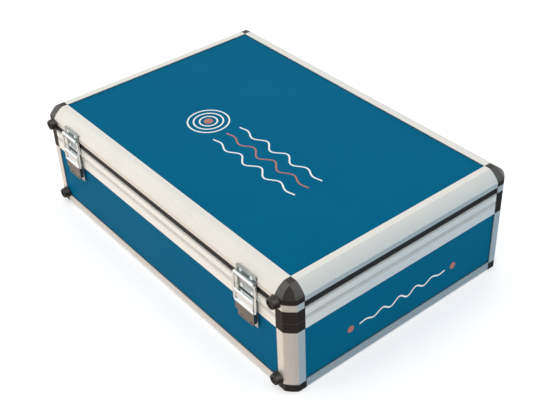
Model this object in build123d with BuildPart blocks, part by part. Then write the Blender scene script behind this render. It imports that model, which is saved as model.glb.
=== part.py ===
from build123d import *
from math import atan2, degrees
import os

os.makedirs("parts", exist_ok=True)

# The closed case: it lies on its base, its latches face -Y, and z is 0 on the floor
case_length = 460.0
case_depth = 312.0
base_height = 92.2
lid_height = 41.2
parting_gap = 0.3

# Boards, and the extrusions that hold their edges
board = 4.0
skin = 1.5
web = 1.2
slot_play = 0.1
edge_play = 0.4
inner_face = skin + board + slot_play + web

# Corners, as seen from above
corner_width = 20.3
post_width = 19.5
corner_leg = 10.2
corner_bulge = 0.7

# Flutes along the posts and the lid rails
flute_pitch = 1.2
flute_depth = 0.22

# Lid rails and their corner caps
rail_width = 20.3
rail_side = 17.7
rail_leg_in = 12.4
rail_leg_down = 11.5
rail_bulge = 1.4
cap_facet_drop = 10.2
cap_facet_top_in = 10.7
cap_facet_top_drop = 1.1
cap_facet_bulge = 0.4
cap_inner_leg = 13.0

# Rims round the parting line
lid_rim_height = 15.3
base_rim_height = 11.6
rim_slot = 3.0
tongue_in = 3.9
tongue_width = 1.6
tongue_height = 2.5
tongue_play = 0.4
rim_groove = 0.35
rim_groove_pitch = 1.0
rim_top_groove_count = 3
rim_low_groove_count = 4

# Bottom rails and the corner caps that the case stands on
foot_drop = 1.0
bottom_rail_height = 10.4
bottom_rail_width = 16.0
bottom_cap_height = 9.5

# Bumper feet on the latch face
bumper_inset = 19.0
bumper_below_top = 18.7
bumper_above_floor = 13.2
bumper_radius = 7.1
bumper_face_radius = 5.8
bumper_height = 7.2
bumper_edge = 0.8
bumper_recess_radius = 3.5
bumper_recess = 3.2
screw_radius = 1.6
screw_head_radius = 3.1
screw_head_height = 1.6
screw_slot = 0.8
screw_play = 0.1

# Rivets
rivet_radius = 1.3
rivet_head_radius = 2.3
rivet_head_height = 0.9
rivet_edge = 0.7
rivet_play = 0.05

# Draw latches
latch_inset = 62.7
latch_width = 30.8
sheet_corner = 1.6
keeper_sheet = 0.9
keeper_below_top = 8.0
keeper_end_gap = 5.6
latch_rivet_spread = 8.4
keeper_upper_rivet_drop = 13.2
keeper_lower_rivet_rise = 9.0
catch_below_top = 16.6
catch_out = 3.8
catch_radius = 1.9
catch_gap = 0.3
catch_over_wire = 1.0
ledge_height = 1.6
latch_sheet = 1.2
pivot_rise = 2.6
pivot_out = 4.6
knuckle_radius = 1.9
knuckle_width = 27.0
latch_plate_height = 32.2
upstand_gap = 0.3
upper_rivet_drop = 4.1
lower_rivet_drop = 25.0
pin_radius = 1.0
pin_play = 0.05
pin_head = 0.5
arm_gap = 0.3
link_drop = 12.9
link_out = 4.6
wire_radius = 1.15
wire_spread = 17.0
wire_bend = 1.8
curl_radius = 1.9
lever_face_out = 5.7
lever_bend_drop = 14.6
lever_tip_drop = 17.3
lever_tip_out = 6.1
lever_flange_clear = 1.7
lever_notch = 4.2
lever_notch_height = 6.2
lever_web_out = 3.4
lever_web_gap = 0.8
lever_pip_radius = 0.9
lever_pip_height = 0.3
lever_pip_spread = 7.7
lever_pip_rise = 1.9

# Hinges on the back face
hinge_inset = 85.0
hinge_width = 46.0
hinge_barrel = 3.0
hinge_out = 3.4
hinge_pin_radius = 1.5
hinge_pin_play = 0.04
hinge_leaf = 1.4
hinge_leaf_height = 11.0
hinge_gap = 0.3
hinge_rivet_spread = 15.0

# Carrying handle on the back face
handle_span = 128.0
handle_out = 6.2
handle_drop = 33.0
bracket_width = 24.0
bracket_height = 30.0
bracket_sheet = 1.6
bracket_below_rim = 1.6
lug_width = 7.0
lug_radius = 5.0
handle_pin_radius = 2.0
bow_width = 6.5
bow_thickness = 5.0
bow_bend = 9.0
grip_length = 92.0
grip_height = 17.0
grip_thickness = 12.0
grip_edge = 4.5
grip_play = 0.05
bracket_rivet_spread = 10.5

# Foam
foam_gap = 0.3
foam_pad_height = 20.0
foam_top_gap = 0.7
pocket_wall = 19.0
front_pocket_depth = 62.0
front_pocket_count = 3
left_pocket_length = 232.0
pocket_corner = 6.0

# Levels and half sizes that follow from these
lid_bottom = base_height + parting_gap
top = lid_bottom + lid_height
front = -case_depth / 2
back = case_depth / 2
slot = board + slot_play
bumper_x = case_length / 2 - bumper_inset
latch_x = case_length / 2 - latch_inset
hinge_x = case_length / 2 - hinge_inset
base_rim_bottom = base_height - base_rim_height
handle_pivot_height = base_rim_bottom - bracket_below_rim - bracket_height / 2
sides = {"front": 0, "right": 90, "back": 180, "left": 270}
corners = {"front_left": 0, "front_right": 90, "back_right": 180, "back_left": 270}
ends = {"left": -1, "right": 1}


def save(piece, name):
    """Labels a finished piece and writes it."""
    piece.part.label = name
    export_step(piece.part, f"parts/{name}.step")


def reach(turn):
    """Distance from the middle of the case to the outer face of a side."""
    return case_depth / 2 if turn % 180 == 0 else case_length / 2


def span(turn):
    """Length of a side, over its corners."""
    return case_length if turn % 180 == 0 else case_depth


def section_plane(turn, run, level, rising=True):
    """Across a side: x points in from the outer face, y up or down from the level."""
    along = Vector(1, 0, 0).rotate(Axis.Z, turn)
    inward = Vector(0, 1, 0).rotate(Axis.Z, turn)
    if not rising:
        along = along * -1
    start = inward * -reach(turn) - along * (run / 2) + Vector(0, 0, level)
    return Plane(origin=start, x_dir=inward, z_dir=along)


def face_plane(turn, inset=0.0):
    """On a side's face: x along the side, y up from the floor, normal outwards."""
    along = Vector(1, 0, 0).rotate(Axis.Z, turn)
    outward = Vector(0, -1, 0).rotate(Axis.Z, turn)
    return Plane(origin=outward * (reach(turn) - inset), x_dir=along, z_dir=outward)


def corner_plane(turn, level):
    """At a corner: x and y point in along the two sides that meet there."""
    signs = Vector(-1, -1, 0).rotate(Axis.Z, turn)
    start = Vector(signs.X * case_length / 2, signs.Y * case_depth / 2, level)
    return Plane(origin=start, x_dir=Vector(1, 0, 0).rotate(Axis.Z, turn), z_dir=(0, 0, 1))


def fluted_arc(start, end, bulge):
    """A shallow arc broken into small hollow flutes."""
    guide = SagittaArc(start, end, bulge, mode=Mode.PRIVATE)
    count = round(guide.length / flute_pitch)
    for flute in range(count):
        SagittaArc(guide @ (flute / count), guide @ ((flute + 1) / count), -flute_depth)


def edge_outline(span_a, span_b, leg_a, leg_b, bulge):
    """Extrusion round an outer edge, with a slot for a board in each of its two legs."""
    end_a = max(leg_a + skin, inner_face)
    end_b = max(leg_b + skin, inner_face)
    if leg_a:
        Line((span_a, 0), (leg_a, 0))
        fluted_arc((leg_a, 0), (0, leg_b), bulge)
        Line((0, leg_b), (0, span_b))
    else:
        Polyline((span_a, 0), (0, 0), (0, span_b))
    Polyline(
        (0, span_b),
        (skin, span_b),
        (skin, end_b),
        (skin + slot, end_b),
        (skin + slot, span_b),
        (inner_face, span_b),
        (inner_face, inner_face),
        (span_a, inner_face),
        (span_a, skin + slot),
        (end_a, skin + slot),
        (end_a, skin),
        (span_a, skin),
        (span_a, 0),
    )


def corner_outline(width, thickness):
    """Plain corner wall, seen from above."""
    Line((width, 0), (corner_leg, 0))
    SagittaArc((corner_leg, 0), (0, corner_leg), corner_bulge)
    Polyline(
        (0, corner_leg),
        (0, width),
        (thickness, width),
        (thickness, thickness),
        (width, thickness),
        (width, 0),
    )


def grooved_face(start, grooves):
    """Down a rim's outer face: small V grooves from a height, one below the other."""
    for groove in range(grooves):
        level = start - groove * rim_groove_pitch
        Polyline(
            (0, level),
            (rim_groove, level - rim_groove_pitch / 2),
            (0, level - rim_groove_pitch),
        )


def lid_rim_outline():
    """Lid rim: a slot above for the side strip, and a rebate below over the base's tongue."""
    rebate = tongue_height + tongue_play
    low_end = rim_groove_pitch
    low_start = low_end + rim_low_groove_count * rim_groove_pitch
    top_end = lid_rim_height - rim_top_groove_count * rim_groove_pitch
    grooved_face(lid_rim_height, rim_top_groove_count)
    Line((0, top_end), (0, low_start))
    grooved_face(low_start, rim_low_groove_count)
    Polyline(
        (0, low_end),
        (0, 0),
        (tongue_in - tongue_play, 0),
        (tongue_in - tongue_play, rebate),
        (inner_face, rebate),
        (inner_face, lid_rim_height),
        (skin + slot, lid_rim_height),
        (skin + slot, lid_rim_height - rim_slot),
        (skin, lid_rim_height - rim_slot),
        (skin, lid_rim_height),
        (0, lid_rim_height),
    )


def base_rim_outline():
    """Base rim: a slot below for the side board, and a tongue above."""
    Polyline(
        (0, 0),
        (0, base_rim_height),
        (tongue_in, base_rim_height),
        (tongue_in, base_rim_height + tongue_height),
        (tongue_in + tongue_width, base_rim_height + tongue_height),
        (tongue_in + tongue_width, base_rim_height),
        (inner_face, base_rim_height),
        (inner_face, 0),
        (skin + slot, 0),
        (skin + slot, rim_slot),
        (skin, rim_slot),
        (skin, 0),
        (0, 0),
    )


def make_lid_rail(side, turn):
    """Fluted top rail between two corner caps."""
    run = span(turn) - 2 * corner_width
    with BuildPart() as rail:
        with BuildSketch(section_plane(turn, run, top, rising=False)):
            with BuildLine():
                edge_outline(rail_width, rail_side, rail_leg_in, rail_leg_down, rail_bulge)
            make_face()
        extrude(amount=run)
    save(rail, f"lid_rail_{side}")


def rail_end_outline():
    """Outside of a lid rail as a filled shape, to trim a corner cap to."""
    Line((corner_width, 0), (rail_leg_in, 0))
    SagittaArc((rail_leg_in, 0), (0, rail_leg_down), rail_bulge)
    Polyline((0, rail_leg_down), (0, rail_side), (corner_width, rail_side), (corner_width, 0))


def make_lid_cap(corner, turn):
    """Faceted corner cap: both rails' sections, cut by a bulging facet across the corner."""
    place = corner_plane(turn, top)
    facet_low = Vector(corner_leg / 2, corner_leg / 2, -cap_facet_drop)
    facet_high = Vector(cap_facet_top_in, cap_facet_top_in, -cap_facet_top_drop)
    chord = facet_high - facet_low
    across = Vector(1, -1, 0).normalized()
    outward = across.cross(chord).normalized()
    facet_radius = chord.length**2 / (8 * cap_facet_bulge) + cap_facet_bulge / 2
    facet_axis = (facet_low + facet_high) / 2 - outward * (facet_radius - cap_facet_bulge)
    facet = Plane(
        origin=place.from_local_coords(facet_axis),
        z_dir=place.from_local_coords(across) - place.from_local_coords(Vector(0, 0, 0)),
    )
    x_side = Plane(origin=place.origin, x_dir=place.y_dir, z_dir=-place.x_dir)
    y_side = Plane(origin=place.origin, x_dir=place.x_dir, z_dir=place.y_dir)
    with BuildPart() as cap:
        with BuildSketch(place):
            with BuildLine():
                Line((corner_width, 0), (corner_leg, 0))
                SagittaArc((corner_leg, 0), (0, corner_leg), corner_bulge)
                Polyline(
                    (0, corner_leg),
                    (0, corner_width),
                    (corner_width, corner_width),
                    (corner_width, 0),
                )
            make_face()
        extrude(amount=-rail_side)
        with Locations(facet):
            Cylinder(facet_radius, 4 * corner_width, mode=Mode.INTERSECT)
        with BuildSketch(x_side):
            with BuildLine():
                rail_end_outline()
            make_face()
        extrude(amount=-corner_width, mode=Mode.INTERSECT)
        with BuildSketch(y_side):
            with BuildLine():
                rail_end_outline()
            make_face()
        extrude(amount=corner_width, mode=Mode.INTERSECT)
        with BuildSketch(place.offset(-inner_face)):
            with BuildLine():
                Polyline(
                    (inner_face, corner_width),
                    (inner_face, cap_inner_leg),
                    (cap_inner_leg, inner_face),
                    (corner_width, inner_face),
                    (corner_width, corner_width),
                    close=True,
                )
            make_face()
        extrude(amount=-rail_side, mode=Mode.SUBTRACT)
        pocket = corner_width - rail_leg_in - skin
        with BuildSketch(place.offset(-skin)):
            with Locations((corner_width, corner_width)):
                Rectangle(pocket, pocket, align=(Align.MAX, Align.MAX))
        extrude(amount=-inner_face, mode=Mode.SUBTRACT)
    save(cap, f"lid_cap_{corner}")


def make_base_post(corner, turn):
    """Fluted corner post between the bottom cap and the rim connector."""
    with BuildPart() as post:
        with BuildSketch(corner_plane(turn, bottom_cap_height)):
            with BuildLine():
                edge_outline(post_width, post_width, corner_leg, corner_leg, corner_bulge)
            make_face()
        extrude(amount=base_rim_bottom - bottom_cap_height)
    save(post, f"base_post_{corner}")


def make_lid_posts():
    """Four short fluted posts between the lid's rim connectors and corner caps."""
    with BuildPart() as posts:
        for turn in corners.values():
            with BuildSketch(corner_plane(turn, lid_bottom + lid_rim_height)):
                with BuildLine():
                    edge_outline(post_width, post_width, corner_leg, corner_leg, corner_bulge)
                make_face()
            extrude(amount=lid_height - lid_rim_height - rail_side)
    save(posts, "lid_short_posts")


def make_connectors(name, level, height):
    """Four corner connectors of a rim."""
    with BuildPart() as connectors:
        for turn in corners.values():
            with BuildSketch(corner_plane(turn, level)):
                with BuildLine():
                    corner_outline(corner_width, inner_face)
                make_face()
            extrude(amount=height)
    save(connectors, name)


def make_bottom_caps():
    """Four caps under the corners, with a floor that stands proud of the bottom rails."""
    with BuildPart() as caps:
        for turn in corners.values():
            with BuildSketch(corner_plane(turn, 0)):
                with BuildLine():
                    corner_outline(corner_width, inner_face)
                make_face()
            extrude(amount=bottom_cap_height)
            with BuildSketch(corner_plane(turn, 0)):
                with Locations((inner_face, inner_face)):
                    Rectangle(
                        corner_width - inner_face,
                        corner_width - inner_face,
                        align=(Align.MIN, Align.MIN),
                    )
            extrude(amount=foot_drop + skin)
    save(caps, "base_bottom_caps")


def make_bottom_rail(side, turn):
    """Plain rail round the bottom edge of one side."""
    run = span(turn) - 2 * corner_width
    with BuildPart() as rail:
        with BuildSketch(section_plane(turn, run, foot_drop)):
            with BuildLine():
                edge_outline(bottom_rail_width, bottom_rail_height, 0, 0, 0)
            make_face()
        extrude(amount=run)
    save(rail, f"base_bottom_rail_{side}")


def make_rim(name, side, turn, level, outline):
    """Rim extrusion along one side, between two connectors."""
    run = span(turn) - 2 * corner_width
    with BuildPart() as rim:
        with BuildSketch(section_plane(turn, run, level)):
            with BuildLine():
                outline()
            make_face()
        extrude(amount=run)
    save(rim, f"{name}_{side}")


def board_shape(turn, low, high, post_low, post_high):
    """Board that reaches into the posts' slots, and between the corners into the rails' slots."""
    narrow = span(turn) - 2 * (corner_width + edge_play)
    wide = span(turn) - 2 * (corner_leg + skin + edge_play)
    with Locations((0, (low + high) / 2)):
        Rectangle(narrow, high - low)
    with Locations((0, (post_low + post_high) / 2)):
        Rectangle(wide, post_high - post_low)


def make_base_board(side, turn):
    """Side board of the base."""
    low = foot_drop + inner_face + edge_play
    high = base_rim_bottom + rim_slot - edge_play
    with BuildPart() as panel:
        with BuildSketch(face_plane(turn, skin)):
            board_shape(turn, low, high, bottom_cap_height, base_rim_bottom)
        extrude(amount=-board)
    save(panel, f"base_board_{side}")


def make_lid_strips():
    """Four narrow black boards between the lid's rails and its rims."""
    rim_top = lid_bottom + lid_rim_height
    with BuildPart() as strips:
        for turn in sides.values():
            with BuildSketch(face_plane(turn, skin)):
                board_shape(
                    turn,
                    rim_top - rim_slot + edge_play,
                    top - rail_leg_down - skin - edge_play,
                    rim_top,
                    top - rail_side,
                )
            extrude(amount=-board)
    save(strips, "lid_side_strips")


def make_flat_board(name, level, slot_end):
    """Board that lies flat in the slots of four rails."""
    inset = slot_end + edge_play
    with BuildPart() as panel:
        with BuildSketch(Plane.XY.offset(level)):
            Rectangle(case_length - 2 * inset, case_depth - 2 * inset)
        extrude(amount=board)
    save(panel, name)


def make_bumpers(name, screw_name, level):
    """Two bumper feet on the latch face, and the screws sunk in them."""
    places = [(bumper_x * end, level) for end in ends.values()]
    outward = face_plane(0)
    slope = degrees(atan2(bumper_radius - bumper_face_radius, bumper_height))
    with BuildPart() as bumpers:
        with BuildSketch(outward):
            with Locations(*places):
                Circle(bumper_radius)
        extrude(amount=bumper_height, taper=slope)
        fillet(bumpers.faces().group_by(Axis.Y)[0].edges(), bumper_edge)
        with BuildSketch(outward.offset(bumper_height - bumper_recess)):
            with Locations(*places):
                Circle(bumper_recess_radius)
        extrude(amount=bumper_recess, mode=Mode.SUBTRACT)
        with BuildSketch(outward):
            with Locations(*places):
                Circle(screw_radius + screw_play)
        extrude(amount=bumper_height, mode=Mode.SUBTRACT)
    save(bumpers, name)
    with BuildPart() as screws:
        with BuildSketch(outward):
            with Locations(*places):
                Circle(screw_radius)
        extrude(amount=bumper_height - bumper_recess)
        with BuildSketch(outward.offset(bumper_height - bumper_recess)):
            with Locations(*places):
                Circle(screw_head_radius)
        extrude(amount=screw_head_height)
        for turn in (0, 90):
            slot_top = outward.offset(bumper_height - bumper_recess + screw_head_height)
            with BuildSketch(slot_top):
                with Locations(*places):
                    Rectangle(screw_head_radius, screw_slot, rotation=turn)
            extrude(amount=-screw_slot, mode=Mode.SUBTRACT)
    save(screws, screw_name)


def discs(face, radius, places):
    """Round shapes on a face, for a caller to extrude."""
    with BuildSketch(face) as drawn:
        with Locations(*places):
            Circle(radius)
    return drawn.sketch


def add_rivets(face, sheet, places):
    """Rivets through a sheet that lies on a face: a shank and a rounded head."""
    extrude(discs(face, rivet_radius, places), amount=sheet)
    heads = discs(face.offset(sheet), rivet_head_radius, places)
    slope = degrees(atan2(rivet_edge, rivet_head_height))
    extrude(heads, amount=rivet_head_height, taper=slope)


def cut_rivet_holes(face, sheet, places):
    """Holes that the rivets pass through."""
    extrude(discs(face, rivet_radius + rivet_play, places), amount=sheet, mode=Mode.SUBTRACT)


def keeper_rivet_places(middle):
    """Two rows of rivets: in the lid rail's side and in the lid rim's smooth band."""
    levels = (top - keeper_upper_rivet_drop, lid_bottom + keeper_lower_rivet_rise)
    offsets = (-latch_rivet_spread, latch_rivet_spread)
    return [(middle + offset, level) for level in levels for offset in offsets]


def latch_rivet_places(middle):
    """Two rows of rivets: in the base rim, and low under the lever."""
    levels = (base_height - upper_rivet_drop, base_height - lower_rivet_drop)
    offsets = (-latch_rivet_spread, latch_rivet_spread)
    return [(middle + offset, level) for level in levels for offset in offsets]


catch_level = top - catch_below_top
pivot_level = base_height + pivot_rise
link_level = pivot_level - link_drop
arm_inside = knuckle_width / 2 + arm_gap
arm_outside = arm_inside + latch_sheet


def across_latch(middle, width):
    """Plane across the front face, at the left end of a piece of this width."""
    return Plane.YZ.offset(middle - width / 2)


def make_keeper(side, middle):
    """Keeper plate on the lid, with the ledge behind the link's catch bar."""
    ledge_reach = catch_out - catch_radius - catch_gap
    low = lid_bottom + keeper_end_gap
    high = top - keeper_below_top
    with BuildPart() as keeper:
        with BuildSketch(face_plane(0)):
            with Locations((middle, (low + high) / 2)):
                RectangleRounded(latch_width, high - low, sheet_corner)
        extrude(amount=keeper_sheet)
        with BuildSketch(across_latch(middle, latch_width)):
            with Locations((front, catch_level)):
                Rectangle(ledge_reach, ledge_height, align=(Align.MAX, Align.MAX))
        extrude(amount=latch_width)
        cut_rivet_holes(face_plane(0), keeper_sheet, keeper_rivet_places(middle))
    save(keeper, f"latch_keeper_{side}")


def make_latch_plate(side, middle):
    """Base plate, its upper edge carried up in front of the lid and round the lever's pin."""
    high = pivot_level + knuckle_radius
    with BuildPart() as plate:
        with BuildSketch(face_plane(0)):
            with Locations((middle, base_height - latch_plate_height / 2)):
                RectangleRounded(latch_width, latch_plate_height, sheet_corner)
        extrude(amount=latch_sheet)
        with BuildSketch(across_latch(middle, knuckle_width)):
            with Locations((front - upstand_gap, high)):
                upstand = high - base_height + sheet_corner
                Rectangle(latch_sheet - upstand_gap, upstand, align=(Align.MAX, Align.MAX))
                Rectangle(pivot_out - upstand_gap, latch_sheet, align=(Align.MAX, Align.MAX))
            with Locations((front - pivot_out, pivot_level)):
                Circle(knuckle_radius)
                Circle(pin_radius + pin_play, mode=Mode.SUBTRACT)
        extrude(amount=knuckle_width)
        cut_rivet_holes(face_plane(0), latch_sheet, latch_rivet_places(middle))
    save(plate, f"latch_plate_{side}")


def lever_face_outline():
    """Section of the lever's face, from the curl down to a tip that turns out a little."""
    face = front - lever_face_out
    tip = front - lever_tip_out
    bend_level = link_level - lever_bend_drop
    tip_level = link_level - lever_tip_drop
    Polyline(
        (face, link_level),
        (face, bend_level),
        (tip, tip_level),
        (tip + latch_sheet, tip_level),
        (face + latch_sheet, bend_level),
        (face + latch_sheet, link_level),
        close=True,
    )


def lever_arm_outline():
    """Side of the lever: an arm up to the pin, and a flange down its face's edge."""
    face = front - lever_face_out
    bend_level = link_level - lever_bend_drop
    flange = front - lever_flange_clear
    pivot = front - pivot_out
    Polyline(
        (pivot - knuckle_radius, pivot_level),
        (face, link_level),
        (face, bend_level),
        (flange, bend_level),
        (flange, link_level),
        (pivot + knuckle_radius, pivot_level),
        close=True,
    )


def make_lever(side, middle):
    """Lever: arms to the pin with a web between them, a curl round the link, and a flanged face."""
    pivot = (front - pivot_out, pivot_level)
    curl = (front - link_out, link_level)
    web_height = pivot_level - knuckle_radius - lever_web_gap - link_level
    tip_middle = middle + lever_notch / 2
    tip_level = link_level - lever_tip_drop
    pips = [(tip_middle + lever_pip_spread * end, tip_level + lever_pip_rise) for end in ends.values()]
    with BuildPart() as lever:
        with BuildSketch(across_latch(middle, 2 * arm_inside)):
            with Locations(curl):
                Circle(curl_radius)
            with Locations((front - lever_web_out, link_level)):
                Rectangle(latch_sheet, web_height, align=(Align.MAX, Align.MIN))
            with BuildLine():
                lever_face_outline()
            make_face()
        extrude(amount=2 * arm_inside)
        for start in (middle - arm_outside, middle + arm_inside):
            with BuildSketch(Plane.YZ.offset(start)):
                with Locations(pivot):
                    Circle(knuckle_radius)
                with Locations(curl):
                    Circle(curl_radius)
                with BuildLine():
                    lever_arm_outline()
                make_face()
            extrude(amount=latch_sheet)
        with BuildSketch(across_latch(middle, 2 * arm_outside)):
            with Locations(pivot):
                Circle(pin_radius + pin_play)
            with Locations(curl):
                Circle(wire_radius + pin_play)
        extrude(amount=2 * arm_outside, mode=Mode.SUBTRACT)
        with BuildSketch(face_plane(0)):
            with Locations((middle - arm_outside, tip_level)):
                Rectangle(lever_notch, lever_notch_height, align=(Align.MIN, Align.MIN))
        extrude(amount=lever_tip_out, mode=Mode.SUBTRACT)
        pip_heads = discs(face_plane(0, -lever_face_out), lever_pip_radius, pips)
        extrude(pip_heads, amount=lever_tip_out - lever_face_out + lever_pip_height)
    save(lever, f"latch_lever_{side}")


def make_link(side, middle):
    """Wire link: a closed loop of wire with a thick catch bar along its upper run."""
    upper = Vector(0, front - catch_out, catch_level - catch_over_wire)
    lower = Vector(0, front - link_out, link_level)
    centre = (upper + lower) / 2 + Vector(middle, 0, 0)
    rise = upper - lower
    loop = Plane(origin=centre, x_dir=(1, 0, 0), z_dir=Vector(1, 0, 0).cross(rise))
    with BuildPart() as link:
        with BuildLine(loop) as route:
            side_x = wire_spread
            top_y = rise.length / 2
            FilletPolyline(
                (-side_x, -top_y),
                (side_x, -top_y),
                (side_x, top_y),
                (-side_x, top_y),
                radius=wire_bend,
                close=True,
            )
        with BuildSketch(Plane(origin=route.line @ 0, z_dir=route.line % 0)):
            Circle(wire_radius)
        sweep(path=route.line)
        with BuildSketch(across_latch(middle, latch_width)):
            with Locations((upper.Y, catch_level)):
                Circle(catch_radius)
        extrude(amount=latch_width)
    save(link, f"latch_link_{side}")


def make_lever_pins():
    """One pin through the arms and the knuckle of each latch, with flattened ends."""
    length = 2 * arm_outside
    with BuildPart() as pins:
        for end in ends.values():
            middle = latch_x * end
            with BuildSketch(across_latch(middle, length)):
                with Locations((front - pivot_out, pivot_level)):
                    Circle(pin_radius)
            extrude(amount=length)
            for start, way in ((middle + length / 2, 1), (middle - length / 2, -1)):
                with BuildSketch(Plane.YZ.offset(start + way * pin_play)):
                    with Locations((front - pivot_out, pivot_level)):
                        Circle(pin_radius + pin_head)
                extrude(amount=way * pin_head)
                with BuildSketch(Plane.YZ.offset(start)):
                    with Locations((front - pivot_out, pivot_level)):
                        Circle(pin_radius)
                extrude(amount=way * pin_play)
    save(pins, "latch_lever_pins")


hinge_level = base_height + parting_gap / 2
hinge_middle = back + hinge_out
knuckle_third = hinge_width / 3


def hinge_barrel_shape(leaf_way):
    """Barrel round the pin and the neck that joins it to its leaf, above or below it."""
    neck_end = Align.MIN if leaf_way > 0 else Align.MAX
    with Locations((hinge_middle, hinge_level)):
        Circle(hinge_barrel)
    with Locations((back, hinge_level)):
        Rectangle(hinge_out, hinge_barrel + hinge_gap, align=(Align.MIN, neck_end))


def make_hinge_leaves(name, leaf_way, barrel_runs, bore):
    """One leaf of each hinge: a plate on the back face with its knuckles."""
    start = hinge_level + leaf_way * (hinge_barrel + hinge_gap)
    plate_end = Align.MIN if leaf_way > 0 else Align.MAX
    with BuildPart() as leaves:
        for end in ends.values():
            left = hinge_x * end - hinge_width / 2
            with BuildSketch(Plane.YZ.offset(left)):
                with Locations((back, start)):
                    Rectangle(hinge_leaf, hinge_leaf_height, align=(Align.MIN, plate_end))
            extrude(amount=hinge_width)
            for begin, finish in barrel_runs:
                with BuildSketch(Plane.YZ.offset(left + begin)):
                    hinge_barrel_shape(leaf_way)
                extrude(amount=finish - begin)
            with BuildSketch(Plane.YZ.offset(left)):
                with Locations((hinge_middle, hinge_level)):
                    Circle(bore)
            extrude(amount=hinge_width, mode=Mode.SUBTRACT)
        cut_rivet_holes(face_plane(180), hinge_leaf, hinge_rivet_places(leaf_way))
    save(leaves, name)


def hinge_rivet_places(leaf_way):
    """Three rivets in each leaf, given on the back face."""
    level = hinge_level + leaf_way * (hinge_barrel + hinge_gap + hinge_leaf_height / 2)
    offsets = (-hinge_rivet_spread, 0, hinge_rivet_spread)
    return [(hinge_x * end + offset, level) for end in ends.values() for offset in offsets]


def make_hinge_pins():
    """A straight pin through each hinge."""
    with BuildPart() as pins:
        for end in ends.values():
            with BuildSketch(Plane.YZ.offset(hinge_x * end - hinge_width / 2)):
                with Locations((hinge_middle, hinge_level)):
                    Circle(hinge_pin_radius)
            extrude(amount=hinge_width)
    save(pins, "hinge_pins")


bracket_face = face_plane(180, skin)
handle_middle = back + handle_out
arm_x = handle_span / 2
lug_x = arm_x + bow_width / 2 + arm_gap


def bracket_rivet_places():
    """Two rivets in each handle bracket, above and below its lug."""
    offsets = (-bracket_rivet_spread, bracket_rivet_spread)
    middle = lug_x + lug_width / 2
    return [
        (middle * end, handle_pivot_height + offset) for end in ends.values() for offset in offsets
    ]


def make_brackets():
    """Two plates on the back board, each with a lug that holds an end of the handle's pin."""
    depth = handle_out + skin
    middle = lug_x + lug_width / 2
    with BuildPart() as brackets:
        with BuildSketch(bracket_face):
            with Locations(*[(middle * end, handle_pivot_height) for end in ends.values()]):
                RectangleRounded(bracket_width, bracket_height, lug_radius)
        extrude(amount=bracket_sheet)
        for start in (lug_x, -lug_x - lug_width):
            with BuildSketch(Plane.YZ.offset(start)):
                with Locations((back - skin, handle_pivot_height)):
                    Rectangle(depth, 2 * lug_radius, align=(Align.MIN, Align.CENTER))
                with Locations((handle_middle, handle_pivot_height)):
                    Circle(lug_radius)
                    Circle(handle_pin_radius + pin_play, mode=Mode.SUBTRACT)
            extrude(amount=lug_width)
        cut_rivet_holes(bracket_face, bracket_sheet, bracket_rivet_places())
    save(brackets, "handle_brackets")


def make_handle():
    """Flat steel bow with an eye at each end, and the grip moulded round its middle."""
    low = handle_pivot_height - handle_drop
    flat = face_plane(180, -handle_out - bow_thickness / 2)
    with BuildPart() as bow:
        with BuildSketch(flat):
            with BuildLine():
                FilletPolyline(
                    (-arm_x, handle_pivot_height),
                    (-arm_x, low),
                    (arm_x, low),
                    (arm_x, handle_pivot_height),
                    radius=bow_bend,
                )
                offset(amount=bow_width / 2, side=Side.BOTH)
            make_face()
        extrude(amount=-bow_thickness)
        for end in ends.values():
            with BuildSketch(Plane.YZ.offset(arm_x * end - bow_width / 2)):
                with Locations((handle_middle, handle_pivot_height)):
                    Circle(lug_radius)
            extrude(amount=bow_width)
            with BuildSketch(Plane.YZ.offset(arm_x * end - bow_width)):
                with Locations((handle_middle, handle_pivot_height)):
                    Circle(handle_pin_radius + pin_play)
            extrude(amount=2 * bow_width, mode=Mode.SUBTRACT)
    save(bow, "handle_bow")
    with BuildPart() as grip:
        with BuildSketch(Plane.YZ.offset(-grip_length / 2)):
            with Locations((handle_middle, low)):
                RectangleRounded(grip_thickness, grip_height, grip_edge)
                Rectangle(
                    bow_thickness + 2 * grip_play,
                    bow_width + 2 * grip_play,
                    mode=Mode.SUBTRACT,
                )
        extrude(amount=grip_length)
    save(grip, "handle_grip")


def make_handle_pins():
    """A short pin through each lug and eye."""
    length = lug_x + lug_width - arm_x + bow_width / 2
    with BuildPart() as pins:
        for start in (arm_x - bow_width / 2, -lug_x - lug_width):
            with BuildSketch(Plane.YZ.offset(start)):
                with Locations((handle_middle, handle_pivot_height)):
                    Circle(handle_pin_radius)
            extrude(amount=length)
    save(pins, "handle_pins")


foam_inset = inner_face + edge_play
foam_length = case_length - 2 * foam_inset
foam_depth = case_depth - 2 * foam_inset
foam_floor = foot_drop + skin + slot + foam_gap
foam_layer_bottom = foam_floor + foam_pad_height + foam_gap
foam_layer_top = base_height - foam_top_gap


def pocket_boxes():
    """Centre and size of each pocket, seen from above: a row in front, two large ones behind."""
    pockets = []
    count = front_pocket_count
    row_length = (foam_length - (count + 1) * pocket_wall) / count
    row_y = -foam_depth / 2 + pocket_wall + front_pocket_depth / 2
    for place in range(count):
        x = -foam_length / 2 + pocket_wall + row_length / 2 + place * (row_length + pocket_wall)
        pockets.append((x, row_y, row_length, front_pocket_depth))
    large_depth = foam_depth - 3 * pocket_wall - front_pocket_depth
    large_y = foam_depth / 2 - pocket_wall - large_depth / 2
    right_length = foam_length - 3 * pocket_wall - left_pocket_length
    left_x = -foam_length / 2 + pocket_wall + left_pocket_length / 2
    right_x = foam_length / 2 - pocket_wall - right_length / 2
    pockets.append((left_x, large_y, left_pocket_length, large_depth))
    pockets.append((right_x, large_y, right_length, large_depth))
    return pockets


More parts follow.
